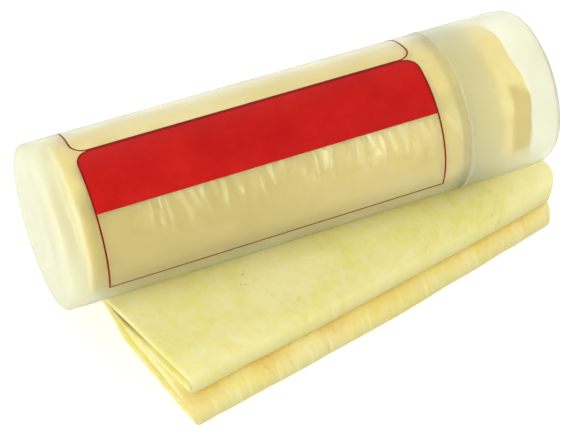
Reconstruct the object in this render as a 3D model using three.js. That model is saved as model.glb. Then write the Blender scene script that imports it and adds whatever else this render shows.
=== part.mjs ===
// A synthetic chamois cleaning cloth, rolled up in its frosted plastic tube, which lies across a second
// cloth of the same size that has been folded up. Millimetres, +Z up; the tube runs along +X, cap at +X.
import * as THREE from 'three';

// The cloth as it is cut: both cloths are alike, and each is first folded in half to a strip of two plies
const sheetLength = 430;
const sheetWidth = 330;
const plyThickness = 1.85;
const plyGap = 0.1; // air left between plies that lie on each other

// The folded cloth: the strip goes to and fro in four panels, seen from the front as two rounded folds
const clothTurn = THREE.MathUtils.degToRad(11.7); // its front edge, from the tube's axis
const clothShiftX = 6.3; // its middle, from the tube's middle
const clothShiftY = 6.1;
const frontStep = 7.4; // how far the lower front fold stands ahead of the upper one
const rearTuck = 2.1; // how much shorter the upper panels are than a quarter of the sheet
const topTuck = 4; // how far the top panel's end stops short of the fold behind it
const upperSpread = 2.7; // the right edge of the upper panels, past half the strip's width
const upperTuck = 3.7; // their left edge, short of half the strip's width
const lowerDraw = 2; // the right edge of the lower panels, short of half the strip's width
const lowerTuck = 0.7; // and their left edge
const topDrift = 4.4; // how far the top panel's left edge drifts out on the way back, and over how much depth
const driftReach = 48;
const innerRecess = 1.5; // the inner ply's cut edge, inside the outer one's
const cornerFlare = 2.2; // how far the right edge swings out towards the front, and from how far back
const flareReach = 35;
const cornerDraw = 7.5; // how far the end of a front fold pulls it back in, and from how far back
const cornerReach = 10.5;

// The rolled cloth: the same strip, wound with its fold towards the cap
const stepsPerTurn = 18;
const turns = 4 + 1 / 6;
const rollClearance = 0.3; // round the roll, in the tube's neck

// The tube
const bodyWall = 1;
const neckWall = 1;
const baseWall = 1.2;
const baseSpace = 8.3; // free length between the base and the roll
const baseDepth = 5; // the base's soft end, round its flat middle
const baseFlatRadius = 12;
const baseSquareness = 3.3; // 2 makes that end elliptic, and more makes it squarer
const neckLength = 13.6; // the stepped-down mouth that the cap slides over
const neckLead = 0.4; // the bevel at the mouth
const seatGap = 0.3; // between pieces that touch

// The cap
const capWall = 1;
const capEndWall = 1.2;
const capSpace = 9.8; // free length between the roll and the cap's end
const capLength = 35.8;
const capClearance = 0.3; // between the cap's bore and the neck
const capCornerAxial = 8.2; // the cap's softly rounded shoulder
const capCornerRadial = 2;
const capEdgeBevel = 0.4; // the thin bright line where cap and tube meet

// How finely round shapes are cut into flats
const roundSteps = 64;
const cornerSteps = 6;
const baseSteps = 9;
const turnSteps = 6; // round each of the folded cloth's three turns
const foldedCut = { columns: 3, bends: 6 }; // flats across each ply and round the fold at its right edge
const rolledCut = { columns: 1, bends: 5 };
const panelShares = [0, 0.05, 0.13, 0.5, 0.87, 0.95, 1];

// Sizes that follow from those above
const stripThickness = 2 * plyThickness + plyGap;
const stripPitch = stripThickness + plyGap;
const stripWidth = sheetWidth / 2;
const plyOffset = (plyThickness + plyGap) / 2; // from the strip's middle to a ply's middle
const clothHeight = 3 * stripPitch + stripThickness;

const rollAngle = 2 * Math.PI * turns;
const rollMiddleRadius = sheetLength / rollAngle;
const rollOuterRadius = rollMiddleRadius + (stripPitch * turns) / 2;
const rollRadius = rollOuterRadius + stripThickness / 2;

const neckBore = rollRadius + rollClearance;
const neckRadius = neckBore + neckWall;
const capBore = neckRadius + capClearance;
const tubeRadius = capBore + capWall;
const bodyBore = tubeRadius - bodyWall;

const tubeLength = baseWall + baseSpace + stripWidth + capSpace + capEndWall;
const baseEnd = -tubeLength / 2;
const capEnd = tubeLength / 2;
const rollStart = baseEnd + baseWall + baseSpace;
const capEdge = capEnd - capLength;
const shoulder = capEdge - seatGap;
const mouth = shoulder + neckLength;

// Materials
const clothMaterial = new THREE.MeshStandardMaterial({ color: 0xf1e8a0, roughness: 0.95, metalness: 0 });
const plasticLook = { color: 0xe3e8d2, roughness: 0.5, metalness: 0, transparent: true, opacity: 0.45 };
const tubeMaterial = new THREE.MeshStandardMaterial(plasticLook);
const capMaterial = new THREE.MeshStandardMaterial(plasticLook);

// A strip's section at one place: out along the outer ply, round the fold at its right edge and back along
// the inner ply. Each point is on the middle of the ply, with the direction of the ply's thickness there.
function stripSection({ left, right }, { columns, bends }) {
  const foldCentre = right - stripThickness / 2;
  const points = [];
  for (let i = 0; i <= columns; i += 1) {
    const u = THREE.MathUtils.lerp(left, foldCentre, i / columns);
    points.push({ u, n: plyOffset, du: 0, dn: 1 });
  }
  for (let i = 1; i < bends; i += 1) {
    const angle = (Math.PI * i) / bends;
    const [du, dn] = [Math.sin(angle), Math.cos(angle)];
    points.push({ u: foldCentre + plyOffset * du, n: plyOffset * dn, du, dn });
  }
  for (let i = 0; i <= columns; i += 1) {
    const u = THREE.MathUtils.lerp(foldCentre, left + innerRecess, i / columns);
    points.push({ u, n: -plyOffset, du: 0, dn: -1 });
  }
  return points;
}

// Sweeps the strip along a path in the YZ plane. A station is a point of the path, its unit direction and
// the share of the path behind it. edgesAt gives the strip's left and right edges there.
function sweepStrip(stations, edgesAt, cut) {
  const half = plyThickness / 2;
  const positions = [];
  const rows = stations.map((station) => [1, -1].map((side) => (
    stripSection(edgesAt(station), cut).map((p) => {
      const n = p.n + side * half * p.dn;
      positions.push(p.u + side * half * p.du, station.y + n * station.dz, station.z - n * station.dy);
      return positions.length / 3 - 1;
    })
  )));

  const index = [];
  const quad = (a, b, c, d) => index.push(a, b, c, a, c, d);
  const lastRow = rows.length - 1;
  const lastPoint = rows[0][0].length - 1;
  for (let j = 0; j < lastRow; j += 1) {
    const [[outer, inner], [nextOuter, nextInner]] = [rows[j], rows[j + 1]];
    for (let i = 0; i < lastPoint; i += 1) {
      quad(outer[i], nextOuter[i], nextOuter[i + 1], outer[i + 1]);
      quad(inner[i], inner[i + 1], nextInner[i + 1], nextInner[i]);
    }
    quad(outer[0], inner[0], nextInner[0], nextOuter[0]);
    quad(outer[lastPoint], nextOuter[lastPoint], nextInner[lastPoint], inner[lastPoint]);
  }
  for (let i = 0; i < lastPoint; i += 1) {
    const [outer, inner] = rows[0];
    const [endOuter, endInner] = rows[lastRow];
    quad(outer[i], outer[i + 1], inner[i + 1], inner[i]);
    quad(endOuter[i + 1], endOuter[i], endInner[i], endInner[i + 1]);
  }

  const geometry = new THREE.BufferGeometry();
  geometry.setAttribute('position', new THREE.Float32BufferAttribute(positions, 3));
  geometry.setIndex(index);
  geometry.computeVertexNormals();
  return geometry;
}

// The folded cloth's path: from the top panel's end at the back, forward, and down through three turns
function zigzagStations() {
  const turnRadius = stripPitch / 2;
  const panel = (sheetLength - 3 * Math.PI * turnRadius) / 4;
  const halfDepth = (panel - rearTuck) / 2;
  const upperFront = -halfDepth + frontStep / 2;
  const lowerFront = -halfDepth - frontStep / 2;
  const rear = halfDepth;
  const upperRuns = rear - topTuck - upperFront + (rear - upperFront) + (rear - lowerFront);
  const bottomRun = sheetLength - 3 * Math.PI * turnRadius - upperRuns;
  const panels = [
    { from: rear - topTuck, to: upperFront },
    { from: upperFront, to: rear },
    { from: rear, to: lowerFront },
    { from: lowerFront, to: lowerFront + bottomRun },
  ];

  const stations = [];
  let travelled = 0;
  panels.forEach(({ from, to }, level) => {
    const z = clothHeight - stripThickness / 2 - level * stripPitch;
    const dy = Math.sign(to - from);
    const run = Math.abs(to - from);
    const frontAt = [upperFront, upperFront, lowerFront, lowerFront][level];
    panelShares.forEach((share) => {
      const y = THREE.MathUtils.lerp(from, to, share);
      stations.push({
        y,
        z,
        dy,
        dz: 0,
        share: (travelled + share * run) / sheetLength,
        fromFront: y - frontAt + turnRadius,
      });
    });
    travelled += run;
    if (level === panels.length - 1) return;
    const way = -dy; // 1 round a front turn, -1 round the rear one
    for (let i = 1; i < turnSteps; i += 1) {
      const angle = (Math.PI * i) / turnSteps;
      const y = to - way * turnRadius * Math.sin(angle);
      stations.push({
        y,
        z: z - turnRadius + turnRadius * Math.cos(angle),
        dy: -way * Math.cos(angle),
        dz: -Math.sin(angle),
        share: (travelled + turnRadius * angle) / sheetLength,
        fromFront: y - frontAt + turnRadius,
      });
    }
    travelled += Math.PI * turnRadius;
  });
  return stations;
}

// The strip's edges in the folded cloth: the left ones are cut, and the right one is a fold. fromFront is
// how far the place lies behind the foremost point of its panel's front fold.
function foldedEdges({ share, fromFront }) {
  const down = THREE.MathUtils.clamp(2 * share - 0.5, 0, 1); // 0 in the upper panels, 1 in the lower ones
  const inTopPanel = THREE.MathUtils.clamp(1 - 2 * down, 0, 1);
  const drift = topDrift * inTopPanel * Math.min(1, fromFront / driftReach);
  const tuck = THREE.MathUtils.lerp(upperTuck, lowerTuck, down);
  const spread = THREE.MathUtils.lerp(upperSpread, -lowerDraw, down);
  const flare = cornerFlare * THREE.MathUtils.clamp(1 - (fromFront - cornerReach) / flareReach, 0, 1);
  const near = Math.max(0, 1 - fromFront / cornerReach);
  return {
    left: -stripWidth / 2 + tuck - drift,
    right: stripWidth / 2 + spread + flare - cornerDraw * near * near,
  };
}

// The roll's path: from the strip's outer end, at the bottom, round and in. Every turn is cut at the same
// angles, so that the flats of neighbouring turns lie side by side.
function spiralStations() {
  const step = (2 * Math.PI) / stepsPerTurn;
  const count = Math.round(turns * stepsPerTurn);
  return Array.from({ length: count + 1 }, (_, k) => {
    const angle = -Math.PI / 2 + k * step;
    const radius = rollOuterRadius - (stripPitch * k) / stepsPerTurn;
    return {
      y: radius * Math.cos(angle),
      z: radius * Math.sin(angle),
      dy: -Math.sin(angle),
      dz: Math.cos(angle),
      share: k / count,
    };
  });
}

function rolledEdges() {
  return { left: rollStart, right: rollStart + stripWidth };
}

// A quarter of an ellipse round a corner, from the wall (0) to the end face (1), as [radius, x] points
function cornerArc(wallRadius, faceRadius, wallX, faceX) {
  return Array.from({ length: cornerSteps + 1 }, (_, i) => {
    const angle = ((Math.PI / 2) * i) / cornerSteps;
    const radius = faceRadius + (wallRadius - faceRadius) * Math.cos(angle);
    return [radius, wallX + (faceX - wallX) * Math.sin(angle)];
  });
}

// The base's soft end, a rounded square's outline from the wall (0) to the flat middle (1), as such points
function baseArc(wallRadius, wallX, faceX) {
  const power = 2 / baseSquareness;
  return Array.from({ length: baseSteps + 1 }, (_, i) => {
    const angle = ((Math.PI / 2) * i) / baseSteps;
    const radius = baseFlatRadius + (wallRadius - baseFlatRadius) * Math.cos(angle) ** power;
    return [radius, wallX + (faceX - wallX) * Math.sin(angle) ** power];
  });
}

// Turns a profile of [radius, x] points, from the axis to the axis, about the tube's axis
function turned(profile) {
  const points = profile.map(([radius, x]) => new THREE.Vector2(radius, x));
  const geometry = new THREE.LatheGeometry(points, roundSteps);
  geometry.rotateZ(-Math.PI / 2);
  return geometry;
}

// The tube: a closed base, a plain wall and a stepped-down neck with an open mouth
function bodyGeometry() {
  const cornerX = baseEnd + baseDepth;
  const neckFoot = shoulder - neckWall;
  return turned([
    [0, baseEnd],
    ...baseArc(tubeRadius, cornerX, baseEnd).reverse(),
    [tubeRadius, shoulder],
    [neckRadius, shoulder],
    [neckRadius, mouth - neckLead],
    [neckRadius - neckLead, mouth],
    [neckBore, mouth],
    [neckBore, neckFoot],
    [bodyBore, neckFoot - (bodyBore - neckBore)],
    ...baseArc(bodyBore, cornerX, baseEnd + baseWall),
    [0, baseEnd + baseWall],
  ]);
}

// The cap: a cup that slides over the neck and meets the tube's shoulder
function capGeometry() {
  const cornerX = capEnd - capCornerAxial;
  const faceRadius = tubeRadius - capCornerRadial;
  return turned([
    [0, capEnd - capEndWall],
    ...cornerArc(capBore, faceRadius, cornerX, capEnd - capEndWall).reverse(),
    [capBore, capEdge],
    [tubeRadius - capEdgeBevel, capEdge],
    [tubeRadius, capEdge + capEdgeBevel],
    ...cornerArc(tubeRadius, faceRadius, cornerX, capEnd),
    [0, capEnd],
  ]);
}

function piece(name, geometry, material) {
  const mesh = new THREE.Mesh(geometry, material);
  mesh.name = name;
  return mesh;
}

// The tube with its cap and roll lies on the folded cloth, and the whole stands centred on the origin
const packed = new THREE.Group();
packed.position.z = clothHeight + seatGap + tubeRadius;
packed.add(
  piece('tube_body', bodyGeometry(), tubeMaterial),
  piece('tube_cap', capGeometry(), capMaterial),
  piece('rolled_cloth', sweepStrip(spiralStations(), rolledEdges, rolledCut), clothMaterial),
);

const folded = piece('folded_cloth', sweepStrip(zigzagStations(), foldedEdges, foldedCut), clothMaterial);
folded.position.set(clothShiftX, clothShiftY, 0);
folded.rotation.z = clothTurn;

const group = new THREE.Group();
group.add(folded, packed);
const box = new THREE.Box3().setFromObject(group, true);
const middle = box.getCenter(new THREE.Vector3());
group.position.set(-middle.x, -middle.y, -box.min.z);

export default group;
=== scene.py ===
# %% [markdown]
# # Two synthetic chamois cloths, one rolled in its tube and one folded
#
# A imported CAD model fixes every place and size. This script dresses it: each soft or moulded piece is made
# again with finer shapes and a real finish, in the same frame, and the scene gets a floor, a light and a
# camera. The script reads from top to bottom, one small step at a time.

# %% Load the frame
import bisect
import math

import bmesh
import bpy
from mathutils import Matrix, Vector, noise


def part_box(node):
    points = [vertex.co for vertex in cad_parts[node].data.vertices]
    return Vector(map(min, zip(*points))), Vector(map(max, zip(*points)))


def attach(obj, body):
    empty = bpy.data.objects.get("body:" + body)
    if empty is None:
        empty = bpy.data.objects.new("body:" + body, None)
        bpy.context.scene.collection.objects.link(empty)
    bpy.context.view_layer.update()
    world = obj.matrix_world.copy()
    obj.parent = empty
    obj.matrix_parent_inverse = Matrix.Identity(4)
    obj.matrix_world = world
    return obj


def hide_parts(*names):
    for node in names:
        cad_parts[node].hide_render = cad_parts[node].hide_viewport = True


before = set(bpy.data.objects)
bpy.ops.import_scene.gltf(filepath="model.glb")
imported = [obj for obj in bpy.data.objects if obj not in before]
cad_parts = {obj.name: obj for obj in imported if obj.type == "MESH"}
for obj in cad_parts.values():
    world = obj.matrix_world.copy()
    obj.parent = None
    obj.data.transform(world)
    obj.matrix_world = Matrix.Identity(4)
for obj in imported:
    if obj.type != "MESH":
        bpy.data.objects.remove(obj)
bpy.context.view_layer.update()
mm = 0.001

body_low, body_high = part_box("tube_body")
cap_low, cap_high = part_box("tube_cap")
roll_low, roll_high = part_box("rolled_cloth")
base_end = body_low.x
tube_middle_x = (base_end + cap_high.x) / 2
axis_y = (body_low.y + body_high.y) / 2
axis_z = (body_low.z + body_high.z) / 2
print("tube from", round(base_end / mm, 1), "to", round(cap_high.x / mm, 1), "mm")

# %% [markdown]
# ## The camera
#
# The photograph was taken from the front left and well above, with a long lens: the tube hardly narrows
# towards its far end. Camera, lens and place were worked out from the tube's straight sides and round
# ends, and its place is given from the middle of the tube.

# %% Place the camera
# The sensor's width is in millimetres, as Blender counts lenses
FROM_TUBE_MIDDLE = Vector((-174.03, -397.02, 407.75)) * mm
CAMERA_AZIMUTH = math.radians(-23.507)
CAMERA_ELEVATION = math.radians(45.363)
IMAGE_WIDTH_PX = 571
FOCAL_PX = 1700
SENSOR_WIDTH = 36

camera_data = bpy.data.cameras.new("camera")
camera_data.sensor_width = SENSOR_WIDTH
camera_data.lens = FOCAL_PX * SENSOR_WIDTH / IMAGE_WIDTH_PX
camera = bpy.data.objects.new("camera", camera_data)
bpy.context.collection.objects.link(camera)
towards_camera = Vector((
    math.sin(CAMERA_AZIMUTH) * math.cos(CAMERA_ELEVATION),
    -math.cos(CAMERA_AZIMUTH) * math.cos(CAMERA_ELEVATION),
    math.sin(CAMERA_ELEVATION),
))
camera.location = Vector((tube_middle_x, axis_y, axis_z)) + FROM_TUBE_MIDDLE
camera.rotation_euler = (-towards_camera).to_track_quat("-Z", "Y").to_euler()
bpy.context.scene.camera = camera
print("lens", round(camera_data.lens, 1), "mm")

# %% [markdown]
# ## Nodes, made short
#
# Every finish below is a small network of shader nodes. A few helpers keep the networks readable: they add
# a node with its inputs, calculate with two values, mix two colours, and turn a colour as a screen shows it
# into the linear colour that the renderer works with.

# %% Helpers for node networks
WHITE = (1, 1, 1, 1)


def linear(red, green, blue):
    """A colour given as a screen's 0 to 255, as the renderer's linear colour."""
    def channel(value):
        value /= 255
        return value / 12.92 if value <= 0.04045 else ((value + 0.055) / 1.055) ** 2.4
    return (channel(red), channel(green), channel(blue), 1.0)


def feed(tree, node, inputs):
    """Links each input, by name or number, to another node's output, or gives it a plain value."""
    for name, value in inputs.items():
        if isinstance(value, bpy.types.NodeSocket):
            tree.links.new(value, node.inputs[name])
        else:
            node.inputs[name].default_value = value


def add_node(tree, kind, inputs=None, **settings):
    """Adds a node, sets its properties and feeds its inputs."""
    node = tree.nodes.new(kind)
    for name, value in settings.items():
        setattr(node, name, value)
    feed(tree, node, inputs or {})
    return node


def calculate(tree, operation, first, second):
    """What one operation makes of two values."""
    return add_node(tree, "ShaderNodeMath", {0: first, 1: second}, operation=operation).outputs[0]


def soft_ramp(tree, value, low, high):
    """0 where a value is below low, 1 above high, and a soft ramp between. Low may be the larger."""
    return add_node(tree, "ShaderNodeMapRange", {
        "Value": value, "From Min": low, "From Max": high}, interpolation_type="SMOOTHSTEP").outputs[0]


def mix_colours(tree, factor, first, second):
    """A colour that goes from the first to the second as the factor goes from 0 to 1."""
    return add_node(tree, "ShaderNodeMix", {0: factor, 6: first, 7: second}, data_type="RGBA").outputs[2]


def new_material(name):
    """A material of one Principled shader, with its network and that shader."""
    material = bpy.data.materials.new(name)
    material.use_nodes = True
    tree = material.node_tree
    tree.nodes.clear()
    shader = add_node(tree, "ShaderNodeBsdfPrincipled")
    add_node(tree, "ShaderNodeOutputMaterial", {"Surface": shader.outputs[0]})
    return material, tree, shader


def new_group(name, values, result):
    """A node group that takes a place and some values, and puts out one result."""
    tree = bpy.data.node_groups.new(name, "ShaderNodeTree")
    tree.interface.new_socket("Vector", in_out="INPUT", socket_type="NodeSocketVector")
    for label, value in values.items():
        socket = tree.interface.new_socket(label, in_out="INPUT", socket_type="NodeSocketFloat")
        socket.default_value = value
    tree.interface.new_socket(result, in_out="OUTPUT", socket_type="NodeSocketFloat")
    return tree, tree.nodes.new("NodeGroupInput").outputs, tree.nodes.new("NodeGroupOutput")


def use_group(tree, group, inputs):
    """The result of a group that is placed in a material's network with its own values."""
    return add_node(tree, "ShaderNodeGroup", inputs, node_tree=group).outputs[0]

# %% [markdown]
# ## Floor, world and lamps
#
# The photograph is a cut-out on white. A pale floor keeps the soft shadow that shows where the cloth
# stands, and the camera, mirrors and clear plastic see it and the world as white. The light itself stays
# at a plain level: two broad lamps at the front corners, the left one the stronger, a third behind and
# above, and an even world.

# %% Light the world
WORLD_LIGHT = 0.56


def seen_as_white(tree):
    """1 for what is seen directly, in a reflection or through clear plastic, and 0 for plain light."""
    rays = add_node(tree, "ShaderNodeLightPath").outputs
    mirrored = calculate(tree, "MAXIMUM", rays["Is Camera Ray"], rays["Is Glossy Ray"])
    return calculate(tree, "MAXIMUM", mirrored, rays["Is Transmission Ray"])


world = bpy.data.worlds.new("studio")
bpy.context.scene.world = world
world.use_nodes = True
sky = world.node_tree
sky.nodes.clear()
lighting = add_node(sky, "ShaderNodeBackground", {"Color": WHITE, "Strength": WORLD_LIGHT})
backdrop = add_node(sky, "ShaderNodeBackground", {"Color": WHITE, "Strength": 1.0})
either = add_node(sky, "ShaderNodeMixShader", {
    0: seen_as_white(sky), 1: lighting.outputs[0], 2: backdrop.outputs[0]})
add_node(sky, "ShaderNodeOutputWorld", {"Surface": either.outputs[0]})

# %% Lay the floor
FLOOR_HALF_WIDTH = 3.0
FLOOR_DROP = 0.05 * mm
FLOOR_COLOUR = (0.82, 0.82, 0.81, 1)
FLOOR_GLOW = 0.42

floor_shape = bmesh.new()
bmesh.ops.create_grid(floor_shape, x_segments=1, y_segments=1, size=FLOOR_HALF_WIDTH)
bmesh.ops.translate(floor_shape, verts=floor_shape.verts, vec=(0, 0, -FLOOR_DROP))
floor_mesh = bpy.data.meshes.new("floor")
floor_shape.to_mesh(floor_mesh)
floor_shape.free()
floor = bpy.data.objects.new("floor", floor_mesh)
bpy.context.collection.objects.link(floor)

floor_finish, tree, shader = new_material("white_floor")
feed(tree, shader, {"Base Color": FLOOR_COLOUR, "Roughness": 0.9, "Specular IOR Level": 0.1})
glow_share = calculate(tree, "MULTIPLY", seen_as_white(tree), FLOOR_GLOW)
glow = add_node(tree, "ShaderNodeEmission", {"Color": WHITE, "Strength": glow_share})
both = add_node(tree, "ShaderNodeAddShader", {0: shader.outputs[0], 1: glow.outputs[0]})
feed(tree, tree.nodes["Material Output"], {"Surface": both.outputs[0]})
floor_mesh.materials.append(floor_finish)

# %% Hang the lamps
LAMP_AIM = Vector((0, 0, 0.03))
LAMP_SIDE = 1.1
# Each lamp's place in metres and its power in watts
LAMPS = {
    "left_lamp": ((-1.1, -0.75, 0.75), 11.8),
    "right_lamp": ((1.1, -0.75, 0.75), 6.8),
    "rear_lamp": ((0, 0.90, 1.10), 4.2),
}

for name, (place, watts) in LAMPS.items():
    lamp_data = bpy.data.lights.new(name, "AREA")
    lamp_data.size = LAMP_SIDE
    lamp_data.energy = watts
    lamp = bpy.data.objects.new(name, lamp_data)
    lamp.location = place
    lamp.rotation_euler = (LAMP_AIM - Vector(place)).to_track_quat("-Z", "Y").to_euler()
    bpy.context.collection.objects.link(lamp)

# %% [markdown]
# ## Effects that several finishes share
#
# Moulded plastic, ink and chamois all have some unevenness, so four effects are built once as node groups
# and placed in each material with its own values: a soft mottling, a fine grain, scattered pits, and short
# cracks. Each puts out a mask or a height, and the material decides what it colours or dents.

# %% Build the mottling
mottling, into, out = new_group("mottling", {"Scale": 30.0, "Low": 0.35, "High": 0.65}, "Mask")
cloudy = add_node(mottling, "ShaderNodeTexNoise", {
    "Vector": into["Vector"], "Scale": into["Scale"], "Detail": 4.0, "Roughness": 0.6})
feed(mottling, out, {"Mask": soft_ramp(mottling, cloudy.outputs[0], into["Low"], into["High"])})

# %% Build the grain
grain, into, out = new_group("grain", {"Scale": 800.0}, "Height")
specks = add_node(grain, "ShaderNodeTexNoise", {
    "Vector": into["Vector"], "Scale": into["Scale"], "Detail": 3.0, "Roughness": 0.7})
feed(grain, out, {"Height": specks.outputs[0]})

# %% Build the pits
pits, into, out = new_group("pits", {"Scale": 250.0, "Size": 0.3, "Share": 0.2}, "Mask")
cells = add_node(pits, "ShaderNodeTexVoronoi", {
    "Vector": into["Vector"], "Scale": into["Scale"]}, feature="F1")
inside = soft_ramp(pits, cells.outputs["Distance"], into["Size"], 0.0)
shade_of_cell = add_node(pits, "ShaderNodeSeparateColor", {0: cells.outputs["Color"]})
chosen = calculate(pits, "LESS_THAN", shade_of_cell.outputs[0], into["Share"])
feed(pits, out, {"Mask": calculate(pits, "MULTIPLY", inside, chosen)})

# %% Build the cracks
cracks, into, out = new_group("cracks", {"Scale": 120.0, "Width": 0.05, "Patches": 40.0}, "Mask")
edges = add_node(cracks, "ShaderNodeTexVoronoi", {
    "Vector": into["Vector"], "Scale": into["Scale"]}, feature="DISTANCE_TO_EDGE")
line = soft_ramp(cracks, edges.outputs["Distance"], into["Width"], 0.0)
patchy = add_node(cracks, "ShaderNodeTexNoise", {
    "Vector": into["Vector"], "Scale": into["Patches"], "Detail": 5.0, "Roughness": 0.7})
in_patch = soft_ramp(cracks, patchy.outputs[0], low=0.58, high=0.68)
feed(cracks, out, {"Mask": calculate(cracks, "MULTIPLY", line, in_patch)})
print("shared effects:", [g.name for g in bpy.data.node_groups])

# %% [markdown]
# ## The chamois finish
#
# Synthetic chamois is a dense, soft foam sheet. Its skin is matt and pale yellow, cloudier in some places
# and whiter in others, with a fine felt-like grain, small pores and a few short cracks. The sheet is mapped
# flat before it is folded, so the pattern stays in the sheet and runs round its folds as the real one does.
#
# The shapes below say where the finish changes. They carry a value from 0 to about 1 at each point: painted
# highlights on raised wrinkles and fine creases, painted light at the roll's end, painted shade on the lower
# front fold under the upper one, round the turns of a fold, on the roll's low front and between plies that
# stand open, and a darker patch at the roll's free end.
#
# The colour is laid in coats over the full tone. Each coat has a mask, a strength and a tone.

# %% Make the chamois
SHEET_LENGTH = 430 * mm
SHEET_WIDTH = 330 * mm
GREENISH = linear(222, 222, 112)
# The tone of the painted shade between open plies, in the slot beside the tube
SLOT_SHADE_TONE = linear(160, 116, 20)


def chamois(name, pale, full, darkened, pore_shade, fold_shade, cloudiness):
    """Chamois from its five tones, with clouds of the given strength; its darker tones paint shade."""
    material, tree, shader = new_material(name)

    def stretched(vector, turn, size):
        """Places that are turned and stretched, so that a pattern on them runs one way."""
        return add_node(tree, "ShaderNodeMapping", {
            "Vector": vector, "Rotation": (0, 0, turn), "Scale": size}).outputs[0]

    def mottled(vector, scale, low, high):
        """A mask of soft patches: 0 where its noise is below low, and 1 where it is above high."""
        return use_group(tree, mottling, {"Vector": vector, "Scale": scale, "Low": low, "High": high})

    def carried(layer):
        """The value that the shape carries in a layer."""
        return add_node(tree, "ShaderNodeAttribute", attribute_name=layer).outputs["Fac"]

    flat_map = add_node(tree, "ShaderNodeUVMap", uv_map="flat").outputs[0]
    place = stretched(flat_map, 0, (SHEET_LENGTH, SHEET_WIDTH, 1))
    along_fibres = stretched(place, 0.6, (1, 3.2, 1))
    along_creases = stretched(place, 0.15, (1, 4.5, 1))

    pores = use_group(tree, pits, {"Vector": place, "Scale": 420.0, "Size": 0.42, "Share": 0.5})
    pores = calculate(tree, "MULTIPLY", pores, mottled(place, 34.0, 0.52, 0.72))
    splits = use_group(tree, cracks, {
        "Vector": along_fibres, "Scale": 260.0, "Width": 0.08, "Patches": 75.0})
    creases = calculate(tree, "MULTIPLY", mottled(along_creases, 90.0, 0.5, 0.66), carried("creased"))
    coats = [
        (mottled(place, 30.0, 0.36, 0.64), 0.6 * cloudiness, pale),
        (mottled(place, 190.0, 0.4, 0.64), 0.48 * cloudiness, pale),
        (mottled(along_fibres, 210.0, 0.44, 0.7), 0.3 * cloudiness, pale),
        (mottled(place, 70.0, 0.48, 0.66), 0.16 * cloudiness, GREENISH),
        (pores, 0.55, pore_shade),
        (splits, 0.3, pore_shade),
        # Painted highlights on wrinkle crests, and painted light at the roll's end by the base
        (carried("pale"), 0.8, pale),
        # Painted shade round the turns of a fold
        (carried("fold_shade"), 0.6, fold_shade),
        # Painted shade under the upper front fold and on the roll's low front, and a darker patch at the
        # roll's free end
        (carried("darkened"), 0.8, darkened),
        # Painted shade between plies that stand open, in the slot beside the tube
        (carried("slot_shade"), 0.85, SLOT_SHADE_TONE),
        # Painted highlights where fine creases run across
        (creases, 0.42, pale),
    ]
    colour = full
    for mask, strength, tone in coats:
        colour = mix_colours(tree, calculate(tree, "MULTIPLY", mask, strength), colour, tone)

    coarse = use_group(tree, grain, {"Vector": place, "Scale": 300.0})
    fine = use_group(tree, grain, {"Vector": place, "Scale": 1500.0})
    raised = calculate(tree, "ADD", coarse, calculate(tree, "MULTIPLY", fine, 0.35))
    height = calculate(tree, "SUBTRACT", raised, calculate(tree, "MAXIMUM", pores, splits))
    bump = add_node(tree, "ShaderNodeBump", {"Height": height, "Strength": 0.5, "Distance": 0.5 * mm})
    feed(tree, shader, {
        "Base Color": colour, "Normal": bump.outputs[0], "Roughness": 0.92, "Specular IOR Level": 0.25,
        "Sheen Weight": 0.12, "Sheen Roughness": 0.5})
    return material


# The tones for darker places and for fold turns are painted shade; each pale tone also paints highlights
chamois_folded = chamois(
    "chamois_folded", pale=linear(252, 247, 194), full=linear(246, 237, 142), darkened=linear(232, 192, 84),
    pore_shade=linear(218, 202, 108), fold_shade=linear(198, 190, 124), cloudiness=1.0)
chamois_rolled = chamois(
    "chamois_rolled", pale=linear(255, 250, 220), full=linear(219, 193, 92), darkened=linear(178, 155, 48),
    pore_shade=linear(206, 176, 76), fold_shade=linear(226, 206, 98), cloudiness=0.3)
print("finishes:", chamois_folded.name, chamois_rolled.name)

# %% [markdown]
# ## A flat sheet, ready to fold
#
# Both cloths are the same sheet, 430 by 330 mm. A grid is the natural start: its lines are placed close
# together where the sheet will bend, and wide apart where it stays flat. The grid gets its flat map first.
# Folding then only moves its points, which keeps the sheet's area, and Solidify gives it its thickness.

# %% Helpers for the sheets
PLY = 1.85 * mm
PLY_GAP = 0.1 * mm
STRIP = 2 * PLY + PLY_GAP
PITCH = STRIP + PLY_GAP
PLY_OFFSET = (PLY + PLY_GAP) / 2
HALF_SHEET = SHEET_WIDTH / 2
FOLD_ARC = math.pi / 2 * PLY_OFFSET


def smooth(low, high, value):
    """0 below low, 1 above high, and a soft ramp between. Low may be the larger."""
    share = min(1, max(0, (value - low) / (high - low)))
    return share * share * (3 - 2 * share)


def within(rise, fall, value):
    """1 between two ramps and 0 beyond them: it goes up over the first and down over the second."""
    return smooth(*rise, value) * (1 - smooth(*fall, value))


def waves(x, y=0, z=0):
    """A soft unevenness from about -1 to 1. A plain number among its places only picks another row."""
    return noise.noise(Vector((x, y, z)))


def blend(first, second, share):
    """The value that lies the given share of the way from the first to the second."""
    return first + (second - first) * share


def stepped(stops, counts):
    """Places from the first stop to the last, with so many even steps from each stop to the next."""
    places = []
    for start, end, count in zip(stops, stops[1:], counts):
        places += [blend(start, end, i / count) for i in range(count)]
    return places + [stops[-1]]


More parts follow.
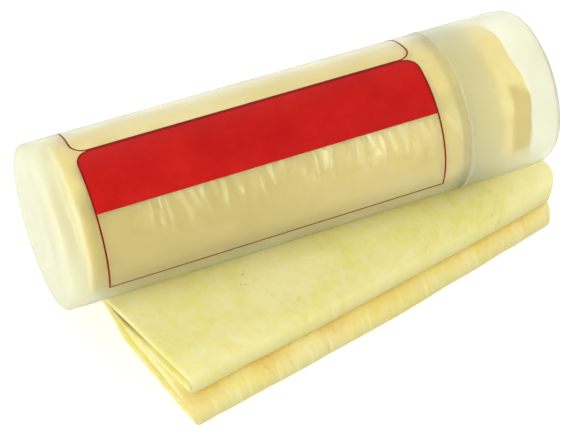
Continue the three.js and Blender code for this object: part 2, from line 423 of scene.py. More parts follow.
def flat_sheet(lengthwise, across):
    """A bmesh grid whose lines lie at the given places along and across the sheet, with its flat map."""
    sheet = bmesh.new()
    columns, rows = len(lengthwise) - 1, len(across) - 1
    bmesh.ops.create_grid(sheet, x_segments=columns, y_segments=rows, size=1)
    for vertex in sheet.verts:
        i = round((vertex.co.x + 1) / 2 * columns)
        j = round((vertex.co.y + 1) / 2 * rows)
        vertex.co = (lengthwise[i], across[j], 0)
    flat = sheet.loops.layers.uv.new("flat")
    for face in sheet.faces:
        for loop in face.loops:
            place = loop.vert.co
            loop[flat].uv = (place.x / SHEET_LENGTH, (place.y + HALF_SHEET) / SHEET_WIDTH)
    return sheet


def add_layers(sheet, names):
    """New layers in which each point of the sheet carries a value for its finish."""
    for name in names:
        sheet.verts.layers.float.new(name)
    return [sheet.verts.layers.float[name] for name in names]


def fold_in_half(place_across, left, right, recess):
    """Where a place across the sheet lies in a strip of two plies: along it, and above its middle."""
    fold_centre = right - STRIP / 2
    if abs(place_across) < FOLD_ARC:
        angle = place_across / PLY_OFFSET
        return fold_centre + PLY_OFFSET * math.cos(angle), -PLY_OFFSET * math.sin(angle)
    share = (abs(place_across) - FOLD_ARC) / (HALF_SHEET - FOLD_ARC)
    end = left + recess if place_across > 0 else left
    return blend(fold_centre, end, share), -math.copysign(PLY_OFFSET, place_across)


def put_in_scene(shape, name, body, material, sharp_angle=None):
    """Makes a finished bmesh an object of the part, smooth but for its sharp edges, that rides on a body."""
    mesh = bpy.data.meshes.new(name)
    shape.to_mesh(mesh)
    shape.free()
    mesh.materials.append(material)
    mesh.polygons.foreach_set("use_smooth", [True] * len(mesh.polygons))
    if sharp_angle is not None:
        mesh.set_sharp_from_angle(angle=math.radians(sharp_angle))
    piece = bpy.data.objects.new(name, mesh)
    bpy.context.collection.objects.link(piece)
    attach(piece, body)
    return piece


def thicken(piece, subdivisions):
    """Gives a folded sheet its thickness, to both sides of its middle."""
    solid = piece.modifiers.new("thickness", "SOLIDIFY")
    solid.thickness = PLY
    solid.offset = 0
    if subdivisions:
        rounding = piece.modifiers.new("rounding", "SUBSURF")
        rounding.levels = rounding.render_levels = subdivisions

# %% [markdown]
# ## The folded cloth
#
# The sheet is first folded in half to a strip of two plies, with its fold at the right, and the strip then
# goes to and fro in four panels. Seen from the front it makes two fat rounded folds, the lower one a little
# ahead, and at the left the cut edges of all the plies show. The path below is that zigzag: straight runs
# joined by half turns. Each point of the sheet is carried along it.

# %% Lay out the zigzag
TURN_RADIUS = PITCH / 2
CLOTH_HEIGHT = 3 * PITCH + STRIP
FRONT_STEP = 7.4 * mm
REAR_TUCK = 2.1 * mm
TOP_TUCK = 4 * mm

panel = (SHEET_LENGTH - 3 * math.pi * TURN_RADIUS) / 4
half_depth = (panel - REAR_TUCK) / 2
upper_front = -half_depth + FRONT_STEP / 2
lower_front = -half_depth - FRONT_STEP / 2
top_run = half_depth - TOP_TUCK - upper_front
bottom_run = 4 * panel - top_run - (half_depth - upper_front) - (half_depth - lower_front)
panels = [
    (half_depth - TOP_TUCK, upper_front),
    (upper_front, half_depth),
    (half_depth, lower_front),
    (lower_front, lower_front + bottom_run),
]

# The strip's path, as stretches: kind, length, where it starts, its height there, and its way
path = []
for level, (start, end) in enumerate(panels):
    height = CLOTH_HEIGHT - STRIP / 2 - level * PITCH
    way = 1 if end > start else -1
    path.append(("run", abs(end - start), start, height, way))
    if level < len(panels) - 1:
        path.append(("turn", math.pi * TURN_RADIUS, end, height, way))


def along_zigzag(distance):
    """Depth, height and direction of the path at a distance from its start."""
    for kind, length, start, height, way in path:
        in_lowest_run = height < PITCH
        if kind == "run" and (distance <= length or in_lowest_run):
            return start + way * distance, height, way, 0
        if kind == "turn" and distance <= length:
            angle = distance / TURN_RADIUS
            return (start + way * TURN_RADIUS * math.sin(angle),
                    height - TURN_RADIUS * (1 - math.cos(angle)),
                    way * math.cos(angle), -math.sin(angle))
        distance -= length


print("panels of", [round(abs(a - b) / mm, 1) for a, b in panels], "mm")

# %% [markdown]
# A cloth that somebody folded by hand is never quite square. The photograph shows the upper folds spread a
# little wider at the right and their cut edges drifting out towards the back, rounded corners, and front
# folds that bow slightly. These are slow changes that all plies share, so the plies never run into each
# other. At the left the inner plies stop short of the outer ones, most of all beside the tube, where a slot
# stands open that painted shade darkens.
#
# Among the values below, a pair is a ramp: where a change starts and where it is complete. Two pairs are a
# rise and a fall. The ramps whose names end in plies run along the sheet, in shares of its length, and the
# others run over places and distances.

# %% Say how the folded cloth is uneven
CLOTH_TURN = math.radians(11.7)
CLOTH_SHIFT = (6.3 * mm, 6.1 * mm)
HALF_STRIP = HALF_SHEET / 2

# The fold at the right, with its rounded front corners and the tucked ones of the plies between
UPPER_SPREAD, LOWER_DRAW = 3.3 * mm, 0.6 * mm
CORNER_FLARE, FLARE_REACH = 2.2 * mm, 35 * mm
CORNER_DRAW, CORNER_REACH = 7.5 * mm, 10.5 * mm
CORNER_TUCK, TUCK_REACH = 2.8 * mm, (8 * mm, 24 * mm)
TUCKED_PLIES = (0.21, 0.235), (0.71, 0.73)

# The cut edges at the left
UPPER_TUCK, LOWER_TUCK = 3.7 * mm, 0.7 * mm
TOP_DRIFT, DRIFT_REACH = 4.4 * mm, 48 * mm
REAR_RECEDE, RECEDE_DEPTH = 3 * mm, (-13 * mm, 10 * mm)

# How far the inner ply stops short of the outer one: everywhere, under the top ply, which keeps only a
# share of it at the front, and in the slot
INNER_RECESS = 1.5 * mm
TOP_RECESS, TOP_RECESS_REACH = 3.5 * mm, (4 * mm, 12 * mm)
FRONT_RECESS_SHARE = 0.3
NEAR_SLOT = (-25 * mm, -14 * mm)
SLOT_DEPTH, SLOT_MOUTH, SLOT_PLIES = 16 * mm, (-15 * mm, -10 * mm), (0.42, 0.46)

# The painted shade in there: its strength away from the slot and near it, and how far in it starts
FRONT_SHADE, NEAR_SHADE = 0.12, 0.5
INNER_SHADE = (3 * mm, 8 * mm)
OUTER_SHADE = (-1 * mm, 2 * mm), (SLOT_DEPTH, 24 * mm)
TOP_PANEL_SHARE = 0.25

# The bow and waver of the front folds, and the faces' slow sag and finer ripple
UPPER_BOW, BOW_MIDDLE, BOW_REACH = 1.0 * mm, -5 * mm, 82 * mm
LOWER_RECEDE, LOWER_RECEDE_REACH = 3.2 * mm, (-15 * mm, 82 * mm)
EDGE_WAVER, WAVER_LENGTH = 0.55 * mm, 16 * mm
FOLD_RIPPLE, FOLD_RIPPLE_LENGTH, FOLD_RIPPLE_BAND = 0.22 * mm, 5 * mm, 4 * mm
SURFACE_SAG, SAG_LENGTH = 0.03, 38 * mm
SURFACE_RIPPLE, RIPPLE_LENGTH, RIPPLE_BREADTH = 0.012, 11 * mm, 6 * mm

# Painted shade in gold under the upper fold, and painted highlights on fine creases, on the lower front fold
# past the start of its turn
GOLDEN_BAND = (-12 * mm, -6 * mm), (-2 * mm, 4.5 * mm)
GOLDEN_STRENGTH = 0.62
SLOW_SHADE, SLOW_SHADE_LENGTH = 0.5, 14 * mm
FINE_SHADE, FINE_SHADE_LENGTH = 0.3, 3.5 * mm
CREASED_BAND = (-7 * mm, 0), (5 * mm, 9 * mm)
CREASED_STRENGTH = 0.5


def strip_edges(distance, depth):
    """The strip's left edge, its right edge and the inner ply's recess, as somebody's hands left them."""
    share = distance / SHEET_LENGTH
    # The way down the pile, 0 in the top panel and 1 in the lowest
    down = min(1, max(0, 2 * share - 0.5))
    in_top_panel = max(0, 1 - 2 * down)
    front = upper_front if share < 0.5 else lower_front
    behind = depth - front + TURN_RADIUS

    spread = blend(UPPER_SPREAD, -LOWER_DRAW, down)
    flare = CORNER_FLARE * (1 - smooth(CORNER_REACH, CORNER_REACH + FLARE_REACH, behind))
    near = max(0, 1 - behind / CORNER_REACH)
    tuck = CORNER_TUCK * within(*TUCKED_PLIES, share) * (1 - smooth(*TUCK_REACH, behind))
    right = HALF_STRIP + spread + flare - CORNER_DRAW * near * near - tuck

    drift = TOP_DRIFT * in_top_panel * min(1, behind / DRIFT_REACH)
    recede = REAR_RECEDE * (1 - in_top_panel) * smooth(*RECEDE_DEPTH, depth)
    left = -HALF_STRIP + blend(UPPER_TUCK, LOWER_TUCK, down) - drift + recede

    slot = SLOT_DEPTH * (1 - smooth(*SLOT_PLIES, share)) * smooth(*SLOT_MOUTH, depth)
    set_back = TOP_RECESS * in_top_panel * smooth(*TOP_RECESS_REACH, behind)
    set_back *= blend(FRONT_RECESS_SHARE, 1, smooth(*NEAR_SLOT, depth))
    return left, right, INNER_RECESS + max(slot, set_back)


def slot_shade(share, inner_ply, depth, from_edge):
    """Painted shade: 1 far in the slot beside the tube, less under the overhanging top ply, and 0 in the
    open.
    """
    under_top = blend(FRONT_SHADE, NEAR_SHADE, smooth(*NEAR_SLOT, depth))
    strength = blend(under_top, 1, smooth(*SLOT_MOUTH, depth)) * (1 - smooth(*SLOT_PLIES, share))
    if inner_ply:
        return strength * (1 - smooth(*INNER_SHADE, from_edge))
    if share < TOP_PANEL_SHARE:
        return 0
    return strength * within(*OUTER_SHADE, from_edge)


def settle(place, upper):
    """Moves a folded point by the slow unevenness that all plies share."""
    u, v, z = place
    forward = smooth(0, lower_front, v)
    if upper:
        v -= forward * UPPER_BOW * (1 - ((u - BOW_MIDDLE) / BOW_REACH) ** 2)
    else:
        v += forward * LOWER_RECEDE * smooth(*LOWER_RECEDE_REACH, u)
    v += forward * forward * EDGE_WAVER * waves(u / WAVER_LENGTH, 7 if upper else 2)
    in_band = smooth(lower_front + FOLD_RIPPLE_BAND, lower_front, v)
    v += in_band * FOLD_RIPPLE * waves(u / FOLD_RIPPLE_LENGTH, 9)
    sag = 0.5 + 0.5 * waves(u / SAG_LENGTH, v / SAG_LENGTH, 4)
    ripple = waves(u / RIPPLE_LENGTH, v / RIPPLE_BREADTH, 8)
    return Vector((u, v, z * (1 - SURFACE_SAG * sag - SURFACE_RIPPLE * ripple)))


def golden_shade(past_turn, along):
    """Painted shade in gold under the upper fold: 1 on the lower front fold, in uneven patches, and 0
    elsewhere.
    """
    strength = GOLDEN_STRENGTH + SLOW_SHADE * waves(along / SLOW_SHADE_LENGTH, 3)
    fine = 1 + FINE_SHADE * waves(along / FINE_SHADE_LENGTH, 5)
    return within(*GOLDEN_BAND, past_turn) * strength * fine

# %% [markdown]
# The grid's lines are close in the turns, along the cut edges and round the fold between the plies. Then
# every point is carried to its place, and gets its values for the finish.

# %% Fold the cloth
RUN_STEPS = 22
TURN_STEPS = 10
EDGE_BAND, EDGE_STEPS = 9 * mm, 6
PLY_STEPS = 42
FOLD_STEPS = 8

bends, bend_steps = [0], []
for kind, length, *_ in path:
    bends.append(bends[-1] + length)
    bend_steps.append(RUN_STEPS if kind == "run" else TURN_STEPS)
near_edge = HALF_SHEET - EDGE_BAND
folded = flat_sheet(stepped(bends, bend_steps), stepped(
    (-HALF_SHEET, -near_edge, -FOLD_ARC, FOLD_ARC, near_edge, HALF_SHEET),
    (EDGE_STEPS, PLY_STEPS, FOLD_STEPS, PLY_STEPS, EDGE_STEPS)))
darkened_at, fold_shade_at, slot_shade_at, creased_at = add_layers(folded, ("darkened", "fold_shade", "slot_shade", "creased"))

lower_turn = SHEET_LENGTH - bottom_run - math.pi * TURN_RADIUS
for vertex in folded.verts:
    distance, place_across = vertex.co.x, vertex.co.y
    inner_ply = place_across > 0
    depth, height, d_depth, d_height = along_zigzag(distance)
    left, right, recess = strip_edges(distance, depth)
    along, above = fold_in_half(place_across, left, right, recess)
    place = Vector((along, depth + above * d_height, height - above * d_depth))
    vertex.co = settle(place, distance < SHEET_LENGTH / 2)

    past_turn = distance - lower_turn
    from_edge = along - left - (recess if inner_ply else 0)
    # Painted shade in gold on the lower front fold, under the upper one
    vertex[darkened_at] = golden_shade(past_turn, along)
    # Painted shade round the turns of a fold
    vertex[fold_shade_at] = abs(d_height)
    # Painted shade in the slot and under the overhanging top ply
    vertex[slot_shade_at] = slot_shade(distance / SHEET_LENGTH, inner_ply, depth, from_edge)
    # Painted highlights on the fine creases of the lower front fold
    vertex[creased_at] = CREASED_STRENGTH * within(*CREASED_BAND, past_turn)

# %% [markdown]
# The points so far are in the cloth's own frame, with its front edge along X. One turn and one shift put
# it where the CAD has it, under the tube and about 12 degrees askew. Solidify grows the sheet evenly to
# both sides of its middle, and one subdivision rounds the cut edges as soft foam is.

# %% Finish the folded cloth
bmesh.ops.rotate(folded, verts=folded.verts, cent=(0, 0, 0), matrix=Matrix.Rotation(CLOTH_TURN, 3, "Z"))
bmesh.ops.translate(folded, verts=folded.verts, vec=(
    tube_middle_x + CLOTH_SHIFT[0], axis_y + CLOTH_SHIFT[1], 0))
folded_cloth = put_in_scene(folded, "chamois_cloth_folded", "cloth", chamois_folded)
thicken(folded_cloth, subdivisions=1)
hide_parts("folded_cloth")
print("folded cloth:", len(folded_cloth.data.polygons), "faces before its thickness")

# %% [markdown]
# ## The rolled cloth
#
# The second sheet is folded in half in the same way and then wound into a roll of a bit over four turns,
# with its fold towards the cap. A tight roll isn't an even spiral: each turn keeps its radius for most of
# the way round and then dips by one strip's thickness, under the turn before. A list of angles and lengths
# along the strip turns that rule into places.

# %% Work out the spiral
WALL = 1 * mm
SEAT_GAP = 0.3 * mm
ROLL_CLEARANCE = 0.3 * mm
DIP_START = 0.72
WINDING_STEP = math.radians(2)

tube_radius = (body_high.z - body_low.z) / 2
neck_space = tube_radius - 2 * WALL - SEAT_GAP
roll_outer = neck_space - ROLL_CLEARANCE - STRIP / 2


def spiral_radius(turned_by):
    """The strip's radius, which stays for most of a turn and then dips under where the turn began."""
    turns = turned_by / (2 * math.pi)
    return roll_outer - PITCH * (math.floor(turns) + smooth(DIP_START, 1, turns % 1))


winding = [(0, 0)]
while winding[-1][0] < SHEET_LENGTH:
    travelled, turned_by = winding[-1]
    winding.append((travelled + spiral_radius(turned_by) * WINDING_STEP, turned_by + WINDING_STEP))


def spiral_angle(distance):
    """How far the strip has turned at a distance from its outer end."""
    behind = max(0, bisect.bisect_left(winding, (distance, 0)) - 1)
    (start, start_angle), (end, end_angle) = winding[behind], winding[behind + 1]
    return blend(start_angle, end_angle, (distance - start) / (end - start))

# %% [markdown]
# The roll is seen through frosted plastic, so what matters is its outer turn and its two ends. The cloth
# swells against the plastic where the tube is wide, short wrinkles stand up below the printed band, and at
# the cap its turns have slipped along each other.
#
# Places along the roll are in millimetres from the tube's base end here, and places round it are in degrees
# from the top towards the front. Each wrinkle has the place and angle of its two ends, its half width in
# millimetres and its strength. The slip of the roll's end is given in millimetres at a few angles.

# %% Say how the roll is uneven
# How much fuller the roll is in the wide tube, how little of that is left at its rounded first end, and how
# much slimmer its free end is in the cap
ROLL_SWELL, SWELL_END = 1.25 * mm, (142, 149)
ROUNDED_SHARE, ROUNDED_END = 0.4, (8, 13)
SLACK, SLACK_END = 1.1 * mm, (170, 177)

# Where the fine creases lie, which get painted highlights, and the wrinkles, whose crests are flat over a
# share of their half width
CREASED_PART = (26, 40), (136, 146)
CREASED_ANGLES = (42, 46), (56, 74)
WRINKLE_HEIGHT = 0.4 * mm
MM_PER_DEGREE = 0.45
CREST_SHARE = 0.2
WRINKLES = [
    (33, 51, 33, 66, 1.4, 0.5), (39.4, 49, 39.8, 62, 1.4, 0.6), (44.6, 46, 47, 63, 1.4, 0.8),
    (48.4, 46, 50.4, 61, 1.4, 0.8), (59.4, 47, 60, 57, 1.3, 0.7), (64.8, 47, 65.4, 59, 1.3, 0.7),
    (69.5, 47, 70.6, 58, 1.3, 0.7), (96, 48, 95.6, 60, 1.5, 0.6), (108.6, 46, 108.2, 64, 1.4, 0.7),
    (113.1, 47, 112.9, 67, 1.4, 0.8), (113.7, 67, 117, 54, 1.3, 0.8), (119, 49, 121, 64, 1.5, 0.9),
    (126.2, 47, 124.5, 61, 1.4, 0.8), (129, 52, 128.8, 69, 1.4, 0.7), (134.8, 50, 134.4, 69, 1.4, 0.7),
    (141, 50, 151, 88, 1.0, 0.9), (144, 44, 148, 74, 1.0, 0.6), (150, 34, 152.6, 78, 1.2, 0.5),
    (166, 18, 165.2, 44, 1.6, 0.4), (158, 2, 160, 34, 1.8, 0.4), (24, 8, 26, 30, 1.8, 0.5),
]
END_SLIP = [
    (-90, 0), (-32, -0.4), (-4, 0.2), (17, -0.8), (40, 0.9), (57, 2.0), (73, 1.2), (115, 2.6), (270, 0)]

# Where the roll is painted darker: painted shade along its low front, and a darker patch at its free end,
# whose start leans by millimetres a degree and whose top slants by degrees a millimetre
SHADED_PART = (11, 13), (149, 154)
SHADED_ANGLES = (24, 40), (112, 150)
SHADE_LOSS, SHADE_FADE = 0.45, (55, 125)
PATCH_START, PATCH_LEAN, PATCH_MIDDLE = (165.6, 167.4), 0.02, 60
PATCH_TOP, PATCH_SLANT, PATCH_SLANT_START = 42, 2.1, 169
PATCH_SOFTNESS, PATCH_FOOT = 3, (96, 112)
PATCH_STRENGTH = 0.8


def swelling(from_base):
    """How much the springy roll grows where the tube is wide, with rounded and slack ends."""
    rounded = blend(ROUNDED_SHARE, 1, smooth(*ROUNDED_END, from_base))
    swell = ROLL_SWELL * (1 - smooth(*SWELL_END, from_base)) * rounded
    return swell - SLACK * smooth(*SLACK_END, from_base)


def wrinkle(from_base, round_front):
    """1 on the crest of a wrinkle of the roll's outer turn, and 0 away from all of them."""
    crest = 0
    for x1, angle1, x2, angle2, half_width, strength in WRINKLES:
        run = Vector((x2 - x1, (angle2 - angle1) * MM_PER_DEGREE))
        offset = Vector((from_base - x1, (round_front - angle1) * MM_PER_DEGREE))
        along_it = min(1, max(0, offset.dot(run) / run.length_squared))
        away = (offset - run * along_it).length
        crest = max(crest, strength * (1 - smooth(CREST_SHARE * half_width, half_width, away)))
    return crest


def roll_darkening(from_base, round_front):
    """1 where the roll is painted darker, with shade on its low front and a patch at its free end, and 0
    elsewhere.
    """
    low_shade = within(*SHADED_PART, from_base) * (1 - SHADE_LOSS * smooth(*SHADE_FADE, from_base))
    patch = smooth(*PATCH_START, from_base + PATCH_LEAN * (round_front - PATCH_MIDDLE))
    top = PATCH_TOP + PATCH_SLANT * max(0, from_base - PATCH_SLANT_START)
    patch *= within((top - PATCH_SOFTNESS, top + PATCH_SOFTNESS), PATCH_FOOT, round_front)
    return max(low_shade * within(*SHADED_ANGLES, round_front), PATCH_STRENGTH * patch)


def end_slip(round_front):
    """How far the roll's end stands out at an angle, as its turns have slipped along each other."""
    for (angle1, slip1), (angle2, slip2) in zip(END_SLIP, END_SLIP[1:]):
        if round_front <= angle2:
            return blend(slip1, slip2, smooth(angle1, angle2, round_front)) * mm

# %% Wind the roll
OUTER_TURN_STEPS, INNER_TURNS_STEPS = 118, 66
OUTER_PLY_STEPS, ROLL_FOLD_STEPS, INNER_PLY_STEPS = 130, 6, 44
WRINKLED_TURNS = 1.1
# Painted highlights on crests, how far they are spared the painted shade, and painted light at the roll's
# base end
CREST_PALENESS, CREST_CLEARNESS = 0.35, 0.45
END_GLOW = 2.5 * mm
END_WAVER, WAVER_PER_RADIAN = 0.8 * mm, 0.8

rolled = flat_sheet(
    stepped((0, roll_outer * 2 * math.pi, SHEET_LENGTH), (OUTER_TURN_STEPS, INNER_TURNS_STEPS)),
    stepped((-HALF_SHEET, -FOLD_ARC, FOLD_ARC, HALF_SHEET),
            (OUTER_PLY_STEPS, ROLL_FOLD_STEPS, INNER_PLY_STEPS)))
darkened_at, pale_at, creased_at = add_layers(rolled, ("darkened", "pale", "creased"))
for vertex in rolled.verts:
    distance, place_across = vertex.co.x, vertex.co.y
    turned_by = spiral_angle(distance)
    angle = turned_by - math.pi / 2
    round_front = (math.degrees(angle) % 360) - 90
    along, above = fold_in_half(place_across, roll_low.x, roll_low.x + HALF_SHEET, INNER_RECESS)
    from_base = (along - base_end) / mm

    crest = 0
    slip = END_WAVER * waves(turned_by * WAVER_PER_RADIAN, 3)
    if turned_by < WRINKLED_TURNS * 2 * math.pi:
        crest = wrinkle(from_base, round_front)
        slip = end_slip(round_front)
        # Painted shade on the roll's low front and a darker patch at its free end, spared on crests
        vertex[darkened_at] = roll_darkening(from_base, round_front) * (1 - CREST_CLEARNESS * crest)
        # Painted highlights where fine creases run across
        vertex[creased_at] = within(*CREASED_ANGLES, round_front) * within(*CREASED_PART, from_base)
    # Painted highlights on wrinkle crests, and painted light at the roll's end by the base
    vertex[pale_at] = max(CREST_PALENESS * crest, 1 - smooth(0, END_GLOW, along - roll_low.x))

    radius = spiral_radius(turned_by) + above + swelling(from_base) - WRINKLE_HEIGHT * (1 - crest)
    along += slip * smooth(roll_low.x + HALF_SHEET / 4, roll_high.x, along)
    vertex.co = (along, radius * math.cos(angle), radius * math.sin(angle))

bmesh.ops.translate(rolled, verts=rolled.verts, vec=(0, axis_y, axis_z))
rolled_cloth = put_in_scene(rolled, "chamois_cloth_rolled", "roll", chamois_rolled)
thicken(rolled_cloth, subdivisions=0)
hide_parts("rolled_cloth")
print("roll radius", round((roll_outer + STRIP / 2) / mm, 2), "mm,",
      round(winding[-1][1] / (2 * math.pi), 2), "turns")

# %% [markdown]
# ## The frosted plastic
#
# Tube and cap are made of a milky plastic, about a millimetre thick. Part of the light is scattered at
# once, which gives the pale greenish haze of the empty ends, and part goes through and is blurred, so the
# roll shows as a soft yellow core. A rough transmission with a share of plain diffuse does both. A faint
# moulding grain keeps the highlights soft and slightly uneven. Where the plastic is thicker, at the tube's
# base and at the cap's edge, it is milkier, so there are two versions of the one finish.

# %% Make the plastic
def grained(tree, place, scale, least_rough, most_rough, strength, depth):
    """A shader's inputs for a fine grain, which shows in the roughness and as a faint bump."""
    skin = use_group(tree, grain, {"Vector": place, "Scale": scale})
    roughness = add_node(tree, "ShaderNodeMapRange", {
        "Value": skin, "To Min": least_rough, "To Max": most_rough})
    bump = add_node(tree, "ShaderNodeBump", {"Height": skin, "Strength": strength, "Distance": depth})
    return {"Roughness": roughness.outputs[0], "Normal": bump.outputs[0]}


def frosted(name, clearness, tone, pale_tone):
    """Frosted plastic that lets the given share of the light through and scatters the rest."""
    material, tree, shader = new_material(name)
    place = add_node(tree, "ShaderNodeTexCoord").outputs["Object"]
    haze = use_group(tree, mottling, {"Vector": place, "Scale": 18.0, "Low": 0.3, "High": 0.7})
    feed(tree, shader, grained(
        tree, place, scale=420.0, least_rough=0.4, most_rough=0.52, strength=0.12, depth=0.2 * mm))
    feed(tree, shader, {
        "Base Color": mix_colours(tree, haze, tone, pale_tone), "IOR": 1.12,
        "Transmission Weight": clearness, "Coat Weight": 0.4, "Coat Roughness": 0.35})
    return material


plastic = frosted(
    "frosted_plastic", clearness=0.94, tone=linear(249, 250, 237), pale_tone=linear(252, 253, 244))
milky_plastic = frosted(
    "milky_plastic", clearness=0.8, tone=linear(247, 248, 228), pale_tone=linear(250, 251, 236))


def make_milky(piece, start, end):
    """Gives the piece's faces between two places along the tube the milky plastic."""
    piece.data.materials.append(milky_plastic)
    for face in piece.data.polygons:
        if start < face.center.x < end:
            face.material_index = 1

# %% [markdown]
# ## The tube and its cap
#
# Both are turned shapes: a profile in the tube's own section, spun once round its axis. The profile starts
# and ends on the axis and goes round the outside and back along the inside, so the wall is a closed solid
# with its true thickness, which clear plastic needs to look right.

# %% Helpers for turned shapes
ROUND_STEPS = 144
CORNER_STEPS = 9
DOME_STEPS = 24
BASE_FLAT_RADIUS = 12 * mm
BASE_SQUARENESS = 3.3
SHARP_ANGLE = 40
TOUCHING = 0.001 * mm


def corner(wall_radius, face_radius, wall_x, face_x):
    """A quarter of an ellipse from the wall round to the end face, as places along the axis and radii."""
    angles = [math.pi / 2 * i / CORNER_STEPS for i in range(CORNER_STEPS + 1)]
    return [(blend(wall_x, face_x, math.sin(a)), blend(face_radius, wall_radius, math.cos(a)))
            for a in angles]


def dome(wall_radius, wall_x, face_x):
    """The base's soft end, from the wall to its flat middle, as a rounded square's outline."""
    points = []
    for i in range(DOME_STEPS + 1):
        angle = math.pi / 2 * i / DOME_STEPS
        outwards = math.cos(angle) ** (2 / BASE_SQUARENESS)
        endwards = math.sin(angle) ** (2 / BASE_SQUARENESS)
        points.append((blend(wall_x, face_x, endwards), blend(BASE_FLAT_RADIUS, wall_radius, outwards)))
    return points


def turned(profile):
    """Spins a profile of (place along the axis, radius) once round the tube's axis."""
    shape = bmesh.new()
    points = [shape.verts.new((x, 0, radius)) for x, radius in profile]
    edges = [shape.edges.new(pair) for pair in zip(points, points[1:])]
    bmesh.ops.spin(shape, geom=points + edges, cent=(0, 0, 0), axis=(1, 0, 0),
                   angle=2 * math.pi, steps=ROUND_STEPS, use_merge=True)
    bmesh.ops.remove_doubles(shape, verts=shape.verts, dist=TOUCHING)
    bmesh.ops.recalc_face_normals(shape, faces=shape.faces)
    bmesh.ops.translate(shape, verts=shape.verts, vec=(0, axis_y, axis_z))
    return shape

# %% Turn the tube
BASE_WALL = 1.2 * mm
BASE_DEPTH = 5 * mm
BASE_MILKY = 8.5 * mm
LIP_ROUND = 0.35 * mm

mouth = body_high.x
cap_edge, cap_end = cap_low.x, cap_high.x
bore = tube_radius - WALL
neck_radius = bore - SEAT_GAP
neck_bore = neck_radius - WALL
shoulder = cap_edge - SEAT_GAP
neck_foot = shoulder - WALL
dome_foot = base_end + BASE_DEPTH
milky_end = base_end + BASE_MILKY
body_profile = (
    [(base_end, 0)]
    + dome(tube_radius, dome_foot, base_end)[::-1]
    + [(milky_end, tube_radius)]
    + [(shoulder - LIP_ROUND, tube_radius), (shoulder - LIP_ROUND / 3, tube_radius - LIP_ROUND / 3),
       (shoulder, tube_radius - LIP_ROUND), (shoulder, neck_radius),
       (mouth - LIP_ROUND, neck_radius), (mouth, neck_radius - LIP_ROUND),
       (mouth, neck_bore), (neck_foot, neck_bore), (neck_foot - (bore - neck_bore), bore)]
    + [(milky_end, bore)]
    + dome(bore, dome_foot, base_end + BASE_WALL)
    + [(base_end + BASE_WALL, 0)])
tube = put_in_scene(turned(body_profile), "frosted_tube", "tube", plastic, SHARP_ANGLE)
make_milky(tube, base_end, milky_end)
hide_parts("tube_body")
print("tube:", len(tube.data.polygons), "faces")

# %% [markdown]
# The cap is a cup that slides over the neck and ends flush with the tube. Its open edge has a fine rolled
# bead, which shows in the photograph as a thin bright line round the tube.

# %% Turn the cap
CAP_CORNER_LENGTH = 8.2 * mm
CAP_CORNER_DROP = 2 * mm
BEAD_WIDTH = 1.2 * mm
BEAD_HEIGHT = 0.3 * mm
BEAD_STEPS = 6
BEAD_MARGIN = 0.6 * mm

cap_corner_x = cap_end - CAP_CORNER_LENGTH
cap_face_radius = tube_radius - CAP_CORNER_DROP
bead = []
for i in range(BEAD_STEPS + 1):
    angle = math.pi * i / BEAD_STEPS
    bead.append((cap_edge + BEAD_WIDTH * (0.5 - 0.5 * math.cos(angle)),
                 tube_radius + BEAD_HEIGHT * (2 * math.sin(angle) - 1)))
cap_profile = (
    [(cap_end - BASE_WALL, 0)]
    + corner(bore, cap_face_radius, cap_corner_x, cap_end - BASE_WALL)[::-1]
    + [(cap_edge, bore)] + bead + [(cap_edge + BEAD_WIDTH + BEAD_MARGIN, tube_radius)]
    + corner(tube_radius, cap_face_radius, cap_corner_x, cap_end)
    + [(cap_end, 0)])
cap = put_in_scene(turned(cap_profile), "frosted_cap", "cap", plastic, SHARP_ANGLE)
make_milky(cap, cap_edge - BEAD_WIDTH, cap_edge + BEAD_WIDTH)
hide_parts("tube_cap")
print("cap:", len(cap.data.polygons), "faces")

# %% [markdown]
# ## The print on the tube
#
# The tube carries a red band with rounded upper corners, a thin frame that runs down from it round an empty
# panel, and a second thin frame over the back. Ink is a film, so each shape is made flat first, where its
# corners are easy to round, then cut into narrow strips and bent round the tube. The shapes stay bare.

# %% Helpers for the print
INK = 0.03 * mm
LINE = 0.6 * mm
STRIP_ANGLE = math.radians(2.5)
PRINT_LEFT = base_end + 15.8 * mm
PRINT_RIGHT = base_end + 139.4 * mm
PRINT_CORNER = 5.2 * mm
PRINT_CORNER_STEPS = 10


def flat_panel(top_angle, bottom_angle, rounded):
    """A flat face over the print's width, from one angle to another below it, with two rounded corners."""
    panel_shape = bmesh.new()
    top, bottom = (-math.radians(a) * tube_radius for a in (top_angle, bottom_angle))
    corners = [panel_shape.verts.new(place) for place in (
        (PRINT_LEFT, bottom, 0), (PRINT_RIGHT, bottom, 0), (PRINT_RIGHT, top, 0), (PRINT_LEFT, top, 0))]
    panel_shape.faces.new(corners)
    chosen_corners = corners[2:] if rounded == "top" else corners[:2]
    bmesh.ops.bevel(panel_shape, geom=chosen_corners, offset=PRINT_CORNER, offset_type="OFFSET",
                    affect="VERTICES", segments=PRINT_CORNER_STEPS, profile=0.5, material=-1)
    return panel_shape


def keep_outline(panel_shape):
    """Keeps only a line of the print's width along the panel's edge."""
    face = panel_shape.faces[:][0]
    bmesh.ops.inset_region(panel_shape, faces=[face], thickness=LINE, use_boundary=True,
                           use_even_offset=True)
    bmesh.ops.delete(panel_shape, geom=[face], context="FACES")


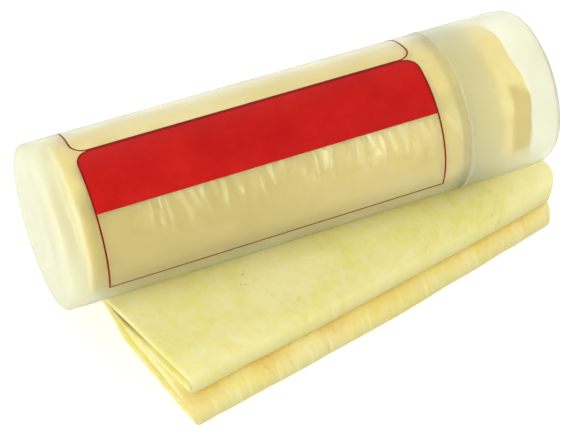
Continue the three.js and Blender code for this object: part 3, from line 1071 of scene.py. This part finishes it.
def wrap_round_tube(panel_shape, lift):
    """Cuts a flat print into strips, bends it round the tube and gives it the ink's thickness."""
    lowest = min(v.co.y for v in panel_shape.verts)
    highest = max(v.co.y for v in panel_shape.verts)
    step = STRIP_ANGLE * tube_radius
    for k in range(1, math.ceil((highest - lowest) / step)):
        geometry = panel_shape.verts[:] + panel_shape.edges[:] + panel_shape.faces[:]
        bmesh.ops.bisect_plane(panel_shape, geom=geometry, dist=TOUCHING,
                               plane_co=(0, lowest + k * step, 0), plane_no=(0, 1, 0))
    radius = tube_radius + lift
    for vertex in panel_shape.verts:
        angle = -vertex.co.y / tube_radius
        vertex.co = (vertex.co.x, axis_y - radius * math.sin(angle), axis_z + radius * math.cos(angle))
    bmesh.ops.recalc_face_normals(panel_shape, faces=panel_shape.faces)
    bmesh.ops.solidify(panel_shape, geom=panel_shape.faces[:], thickness=INK)
    bmesh.ops.recalc_face_normals(panel_shape, faces=panel_shape.faces)

# %% Mix the inks
def ink(name, light, dark):
    """Screen-printed ink, a little uneven in colour and in gloss."""
    material, tree, shader = new_material(name)
    place = add_node(tree, "ShaderNodeTexCoord").outputs["Object"]
    uneven = use_group(tree, mottling, {"Vector": place, "Scale": 60.0, "Low": 0.3, "High": 0.75})
    feed(tree, shader, grained(
        tree, place, scale=500.0, least_rough=0.38, most_rough=0.5, strength=0.1, depth=0.1 * mm))
    feed(tree, shader, {"Base Color": mix_colours(tree, uneven, dark, light), "Specular IOR Level": 0.1})
    return material


red_ink = ink("red_ink", light=linear(198, 26, 18), dark=linear(182, 14, 12))
line_ink = ink("dark_red_ink", light=linear(140, 14, 8), dark=linear(122, 10, 6))

# %% Print the band and the frames
# Degrees from the top of the tube towards the front
BAND_TOP, BAND_BOTTOM, FRAME_BOTTOM, BACK_FRAME_END = 0.5, 46, 104, -58
BAND_LIFT = 0.03 * mm
FRAME_LIFT = 0.08 * mm

band = flat_panel(BAND_TOP, BAND_BOTTOM, "top")
wrap_round_tube(band, BAND_LIFT)
band_print = put_in_scene(band, "printed_band", "tube", red_ink, SHARP_ANGLE)

front_frame = flat_panel(BAND_TOP, FRAME_BOTTOM, "top")
keep_outline(front_frame)
wrap_round_tube(front_frame, FRAME_LIFT)
front_print = put_in_scene(front_frame, "printed_front_frame", "tube", line_ink, SHARP_ANGLE)

back_frame = flat_panel(BACK_FRAME_END, BAND_TOP, "bottom")
keep_outline(back_frame)
wrap_round_tube(back_frame, BAND_LIFT)
back_print = put_in_scene(back_frame, "printed_back_frame", "tube", line_ink, SHARP_ANGLE)
print("prints:", [len(p.data.polygons) for p in (band_print, front_print, back_print)], "faces")

# %% Finish
bpy.context.scene.view_settings.view_transform = "Standard"
bpy.context.view_layer.update()
